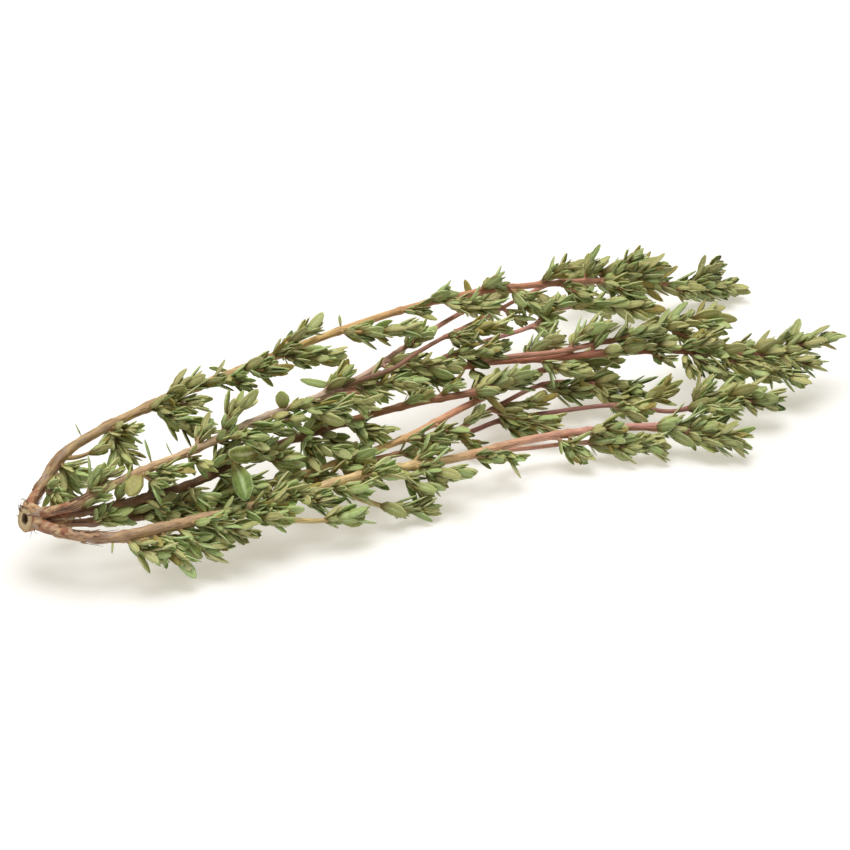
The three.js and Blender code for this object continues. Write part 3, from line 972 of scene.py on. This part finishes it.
def shootRoute(stem, along, turn, lean, reach):
    # a side shoot's own short curve, from the side of its stem
    route = stem["line"]
    side = route.outward(along, turn)
    away = leaning(route.heading(along), side, math.radians(lean))
    first = (away + side * twigLook["elbow"]).normalized()
    reach = max(twigLook["shortest"], reach - twigLook["leafReach"])
    start = route.point(along) + side * stem["radiusAt"](along) * twigLook["foot"]
    middle = start + first * reach / 2
    end = start + away * reach
    points = []
    for i in range(twigLook["bends"] + 1):
        t = i / twigLook["bends"]
        points.append(start * (1 - t) ** 2 + middle * 2 * t * (1 - t) + end * t**2)
    return Route(points)


def makeShoot(rng, stem, station, foliage):
    along, turn, lean, reach, *bare = station  # bare is the share of the twig without leaves
    along, reach = along * mm, reach * mm
    route = shootRoute(stem, along, turn, lean, reach)
    isLong = reach > twigLook["long"]
    bark = twigLook["longBark" if isLong else "bark"]
    stemShare = twigLook["longStemShare" if isLong else "stemShare"]
    stemColour = colourAlong(stem["bark"], along / stem["line"].length)

    def radiusAt(distance):
        thickness = between(twigLook["radius"], distance / route.length)
        return thickness * (twigLook["longSwell"] if isLong else 1)

    def colourAt(distance):
        own = colourAlong(bark, distance / route.length)
        return [between((a, b), stemShare) for a, b in zip(own, stemColour)]

    strand = rodAlong(route, 0, route.length, radiusAt, twigLook["ring"], colourAt)
    tint = rng.uniform(*foliage["tint"])
    scale = min(1, 0.5 + reach / twigLook["full"])
    first = route.length * (bare[0] if bare else 0)
    radius, sweep = twigLook["radius"][0], stem["line"].heading(along)
    leaves = leavesAlong(rng, route, first, route.length, foliage, radius, tint, scale, sweep)
    return strand, leaves


def makeSingle(rng, stem, station):  # one leaf straight from the stem, or on a stalk towards the front
    along, turn, lean, length, kind, age, *stalk = station
    along, length = along * mm, length * mm
    heading = stem["line"].heading(along)
    side = stem["line"].outward(along, turn)
    front = Vector(singleLook["front"])
    broad = kind in ("round", "big")
    foot = (front if broad else side) * stem["radiusAt"](along) * singleLook["foot"]
    base = stem["line"].point(along) + foot
    strand = []
    if stalk:
        line = Route([base, base + front * stalk[0] * mm / 2, base + front * stalk[0] * mm])
        radius, colour = twigLook["stalk"], paint(twigLook["bark"][0])
        strand = rodAlong(line, 0, line.length, lambda _: radius, twigLook["ring"], lambda _: colour)
        base = line.point(line.length - singleLook["overlap"])
    tint = singleLook["tint"].get(kind, singleLook["usualTint"])
    pattern = "full" if kind in ("slim", "big") else kind
    leaf = leafPoint(rng, base, heading, side, lean, length, tint, pattern)
    leaf["wilt"] = age
    if kind == "slim":
        leaf["size"] = (length * singleLook["slim"], length, length)
    if kind == "big":
        leaf["shape"] = singleLook["bigShape"]
    if broad:  # its face to the front
        leaf["size"] = (length * singleLook["broad"], length, length)
        leaf["tint"] = tint
        direction = leaning(heading, side, math.radians(lean))
        leaf["turn"] = turnOf(direction, squarePart(front, direction))
    return strand, leaf


def growStem(number, stem):
    line = stem["line"] = Route([fromCut(point) for point in stem["route"]])
    wide, narrow = stem["radii"]

    def radiusAt(distance):
        return (wide + (narrow - wide) * math.sqrt(min(1, distance / line.length))) * mm

    def colourAt(distance):
        return colourAlong(stem["bark"], distance / line.length)

    stem["radiusAt"] = radiusAt
    rng = random.Random(stemLook["seed"] + number)
    tipStart = line.length - stem["tip"] * mm
    swollen = [station[0] * mm for station in [*stem["shoots"], *stem["tufts"]]]
    body = rodAlong(line, 0, tipStart, radiusAt, stemLook["ring"], colourAt, swollen, 1)
    growPiece(f"stemBark_{number}", [body], [], [f"stem_{number}"])

    look = tipFoliage
    nodes = [tipStart + (i + 0.5) * look["step"] for i in range(int(stem["tip"] * mm / look["step"]))]
    start, end = tipStart - look["overlap"], line.length - look["leafReach"]
    twig = rodAlong(line, start, end, radiusAt, twigLook["ring"], colourAt, nodes)
    tint = rng.uniform(*look["tint"])
    leaves = leavesAlong(rng, line, tipStart, end, look, radiusAt(tipStart), tint)
    growPiece(f"tipSprig_{number}", [twig], leaves, [f"leafy_tip_{number}"])

    for count, station in enumerate(stem["shoots"], 1):
        strand, leaves = makeShoot(rng, stem, station, shootFoliage)
        node = f"side_shoot_{number}_{count}"
        growPiece(f"shootSprig_{number}_{count}", [strand], leaves, [node])

    tufts = [makeShoot(rng, stem, station, tuftFoliage) for station in stem["tufts"]]
    single = [makeSingle(rng, stem, station) for station in stem.get("single", [])]
    leaves = [leaf for tuft in tufts for leaf in tuft[1]] + [leaf for _, leaf in single]
    strands = [tuft[0] for tuft in tufts] + [strand for strand, _ in single if strand]
    growPiece(f"axilTufts_{number}", strands, leaves)


for number, stem in stems.items():
    growStem(number, stem)
meshes = [item.data for item in bpy.context.scene.objects if item.type == "MESH"]
print("stems and leaves ready:", sum(len(mesh.polygons) for mesh in meshes), "faces")


# The crown is the thick woody foot where the stems part.
crownLook = {
    "from": (-2, 2.8, 13),  # the middle of the cut face, on the same scale as the routes
    "to": (3, 1.4, 13.8),
    "radius": (2.9, 2.7),
    "end": 0.8,  # the last ring's share of its radius
    "steps": 6,
    "back": 1.5,  # how far the wood first goes past the cut, in mm
    "sides": 14,
    "limbSteps": 12,
    "limbReach": 2.5 * mm,  # how far the crown's wood still thickens a stem past its limb
    "limbFlare": (0.98, 0.86),  # shares of the stem's radius, where a limb starts and ends
    "knobs": [(1.4, 3.2, 15.4, 1.0), (2.5, -0.2, 12, 1.1), (8.5, -9, 11.2, 0.8)],
    "voxel": 0.26 * mm,
    "foldScale": (140, 620, 620),
    "fold": 0.42 * mm,  # height of the folds in the wood
    "cutFacing": (-0.93, -0.12, 0.25),  # the wood was cut on a slant
    "trim": 1.6 * mm,
    "pith": 0.36,  # share of the cut face's radius
    "pithDepth": 1.5 * mm,
    "cutBulge": 0.12,
}


def crownAxis():  # the middle of the cut face, the middle of the crown's end and the way between them
    start, end = fromCut(crownLook["from"]), fromCut(crownLook["to"])
    return start, end, (end - start).normalized()


def bridge(shape, first, second):  # faces between two rings of corners
    corners = [(first[a], first[b], second[b], second[a]) for a, b in ringPairs(len(first))]
    return [shape.faces.new(four) for four in corners]


def addTube(shape, track, radii):
    rings = []
    sides = crownLook["sides"]
    for i, place in enumerate(track):
        heading = (track[min(i + 1, len(track) - 1)] - track[max(i - 1, 0)]).normalized()
        above, aside = squareTo(heading)
        spots = [leaning(above, aside, 2 * math.pi * side / sides) * radii[i] for side in range(sides)]
        rings.append([shape.verts.new(place + spot) for spot in spots])
    for first, second in zip(rings, rings[1:]):
        bridge(shape, first, second)
    shape.faces.new(rings[0][::-1])
    shape.faces.new(rings[-1])


def addLimb(shape, stem):  # the crown's wood round the start of a stem
    reach = stem["limb"] * mm + crownLook["limbReach"]
    steps = crownLook["limbSteps"]
    thick, thin = crownLook["limbFlare"]
    track, radii = [], []
    for i in range(steps + 1):
        distance = reach * i / steps
        track.append(stem["line"].point(distance))
        flare = thick * (1 - (i / steps) ** 2) + thin * (i / steps) ** 2
        radii.append(stem["radiusAt"](distance) * flare)
    addTube(shape, track, radii)


def addCrown(shape):  # tubes and knobs that still pass through each other
    start, end, axis = crownAxis()
    steps = crownLook["steps"]
    shares = [i / steps for i in range(steps + 1)]
    wide = [between(crownLook["radius"], share) * mm for share in shares]
    wide[-1] *= crownLook["end"]
    back = axis * crownLook["back"] * mm
    addTube(shape, [start.lerp(end, share) - back * (1 - share) for share in shares], wide)
    for stem in stems.values():
        if "limb" in stem:
            addLimb(shape, stem)
    for x, y, z, radius in crownLook["knobs"]:
        there = Matrix.Translation(fromCut((x, y, z)))
        bmesh.ops.create_icosphere(shape, subdivisions=2, radius=radius * mm, matrix=there)


def oneSurface(holder, name):  # everything in one closed skin
    remesh = holder.modifiers.new("whole", "REMESH")
    remesh.mode = "VOXEL"
    remesh.voxel_size = crownLook["voxel"]
    smooth = holder.modifiers.new("even", "SMOOTH")
    smooth.factor = 0.5
    smooth.iterations = 4
    return applied(holder, name)


def ropeFold(point):  # wood that is folded lengthways, as a height from -1 to 1
    long = Vector([a * b for a, b in zip(point, crownLook["foldScale"])])
    return noise.noise(long) * 0.65 + noise.noise(long * 2.3 + Vector((7, 3, 1))) * 0.35


def orderedRim(edges):  # the corners of one open edge, in order
    following = {}
    for edge in edges:
        for vert in edge.verts:
            following.setdefault(vert, []).append(edge.other_vert(vert))
    first = next(iter(following))
    order = [first]
    before, here = first, following[first][0]
    while here != first:
        order.append(here)
        onward = [vert for vert in following[here] if vert != before]
        before, here = here, onward[0]
    return order


def foldWood(shape):
    shape.normal_update()
    for vert, normal in [(vert, vert.normal.copy()) for vert in shape.verts]:
        vert.co += normal * ropeFold(vert.co) * crownLook["fold"]


def closeCut(shape):  # takes off what is before the cut and closes the wood with rings round the pith
    start, _, axis = crownAxis()
    fromPith = shape.verts.layers.float.new("fromPith")
    facing = Vector(crownLook["cutFacing"]).normalized()
    geometry = [*shape.verts, *shape.edges, *shape.faces]
    plane = {"plane_co": start + axis * crownLook["trim"], "plane_no": facing}
    bmesh.ops.bisect_plane(shape, geom=geometry, clear_outer=True, **plane)
    order = orderedRim([edge for edge in shape.edges if edge.is_boundary])
    middle = sum((vert.co for vert in order), Vector()) / len(order)
    pith = crownLook["pith"]
    last = order
    for share in (0.97, 0.88, 0.66, 0.45, pith * 1.1, pith * 0.9, pith * 0.5):
        depth = -facing * crownLook["pithDepth"] * (1 if share < pith else 0)
        bulge = facing * crownLook["cutBulge"] * mm * (1 - share)
        fresh = [shape.verts.new(middle + (vert.co - middle) * share + depth + bulge) for vert in order]
        for vert in fresh:
            vert[fromPith] = share
        for face in bridge(shape, last, fresh):
            face.material_index = 1
        last = fresh
    shape.faces.new(last).material_index = 1
    faceOutwards(shape)


def makeCrown():
    rough = bpy.data.meshes.new("crownRough")
    reshape(rough, addCrown)
    mesh = oneSurface(linked("crownRough", rough), "crownWood")
    reshape(mesh, foldWood)
    reshape(mesh, closeCut)
    mesh.materials.append(makeCrownSurface())
    mesh.materials.append(makeCutSurface())
    piece = linked("crownWood", mesh)
    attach(piece, "root")
    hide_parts("crown")
    return piece


crownSkin = {
    "brown": "#a86e54",
    "tan": "#c49c72",
    # pale streaks of the wood, partly a painted highlight on the ridges of its folds
    "paleStrawAndHighlight": "#dcc092",
    "cleft": "#422818",
    "fibreScale": 950,
    "patchScale": 260,
    "relief": 0.5 * mm,
}


def makeCrownSurface():
    sheet = newSurface("crownBark", crownSkin)
    place = sheet.place()
    grain = sheet.add("ShaderNodeMapping", {"Vector": place, "Scale": (0.2, 1, 1)})
    fibre = sheet.noise(grain, crownSkin["fibreScale"], 4, 0.65)
    patch = sheet.noise(place, crownSkin["patchScale"], 3)
    tone = sheet.layered(
        "brown",
        (sheet.band(patch, 0.35, 0.65), "tan"),
        # pale streaks on the ridges of the fibre: partly the wood's own colour, partly a painted
        # highlight
        (sheet.band(fibre, 0.52, 0.64) * 0.9, "paleStrawAndHighlight"),
        ((1 - sheet.band(fibre, 0.32, 0.47)) * 0.9, "cleft"),
    )
    values = {"Base Color": tone, "Roughness": 0.8, "Specular IOR Level": 0.3}
    return sheet.finish(values, fibre)


cutSkin = {
    "heart": "#f6e0b4",
    "rings": "#caa870",
    "edge": "#a4743f",
    "pith": "#3e2a10",
    "ringCount": 5,
    "ringScale": 2.2,
    "speckScale": 2400,
    "relief": 0.35 * mm,
}


def makeCutSurface():
    sheet = newSurface("cutWood", cutSkin)
    share = sheet.attribute("fromPith")
    speck = sheet.noise(sheet.place(), cutSkin["speckScale"], 3, 0.6)
    outward = sheet.add("ShaderNodeCombineXYZ", {"X": share * cutSkin["ringCount"]})
    rings = sheet.noise(outward, cutSkin["ringScale"], 2)
    pith = crownLook["pith"]
    tone = sheet.layered(
        "heart",
        (sheet.band(rings + speck * 0.4, 0.5, 0.85), "rings"),
        (sheet.band(share, 0.84, 0.98), "edge"),
        (1 - sheet.band(share, pith * 0.95, pith * 1.35), "pith"),
    )
    values = {"Base Color": tone, "Roughness": 0.75, "Specular IOR Level": 0.3}
    return sheet.finish(values, speck)


crown = makeCrown()
print("crown ready:", len(crown.data.polygons), "faces")


fringeLook = {
    "seed": 77,
    "taper": 0.75,  # how much thinner the end is than the start
    "roots": 22,  # fine root hairs at the cut end and below it
    "rootPlace": (0.3, 5),  # along the crown's axis, in mm
    "rootOut": 2.3,
    "rootBack": (-0.2, 0.9),
    "rootRise": (-0.6, 0.3),
    "rootWander": 0.22,
    "rootLength": (1.4 * mm, 4 * mm),
    "rootRadius": (0.08, 0.15),
    "rootSteps": 7,
    "root": ("#3d2a1c", "#6e4a30"),
    "threads": 46,  # peeling threads of bark along the limbs
    "pastLimb": 9,  # how far past the limb a thread may start, in mm
    "threadTurn": (-60, 150),
    "threadWander": (-4, 4),
    "threadLift": (0.05, 0.9),  # how far its end stands off, as a share of the radius
    "threadLength": (2 * mm, 6.5 * mm),
    "threadRadius": (0.09, 0.26),
    "threadSteps": 8,
    "thread": ("#5a3826", "#8c5a3a", "#b58d5c"),
}


def makeFringe():  # root hairs and threads of bark
    rng = random.Random(fringeLook["seed"])
    strands = []

    def chance(name):
        return rng.uniform(*fringeLook[name])

    def addStrand(places, kind):
        radius = chance(f"{kind}Radius") * mm
        looks = {"rough": 1, "knot": 0, "bark": colourAlong(fringeLook[kind], rng.random())}
        last = len(places) - 1
        strand = []
        for i, place in enumerate(places):
            thick = radius * (1 - fringeLook["taper"] * i / last)
            strand.append({"place": place, "thick": thick, "along": i * 0.3 * mm, **looks})
        strands.append(strand)

    start, _, axis = crownAxis()
    steps = fringeLook["rootSteps"]
    for _ in range(fringeLook["roots"]):
        out = leaning(*squareTo(axis), rng.uniform(0, 2 * math.pi))
        place = start + axis * chance("rootPlace") * mm + out * fringeLook["rootOut"] * mm
        way = (out - axis * chance("rootBack") + up * chance("rootRise")).normalized()
        length = chance("rootLength")
        places = [place]
        for _ in range(steps):
            wander = Vector([rng.gauss(0, fringeLook["rootWander"]) for _ in range(3)])
            way = (way + wander).normalized()
            places.append(places[-1] + way * length / steps)
        addStrand(places, "root")

    limbs = [stem for stem in stems.values() if "limb" in stem]
    steps = fringeLook["threadSteps"]
    for count in range(fringeLook["threads"]):
        stem = limbs[count % len(limbs)]
        first = rng.uniform(1, stem["limb"] + fringeLook["pastLimb"]) * mm
        turn = chance("threadTurn")
        length = chance("threadLength")
        lift = chance("threadLift")
        places = []
        for i in range(steps + 1):
            distance = first + length * i / steps
            height = stem["radiusAt"](distance) * (1.05 + lift * (i / steps) ** 2)
            outward = stem["line"].outward(distance, turn + chance("threadWander"))
            places.append(stem["line"].point(distance) + outward * height)
        addStrand(places, "thread")
    growPiece("crownFringe", strands, [])


makeFringe()
print("root hairs and bark threads ready")
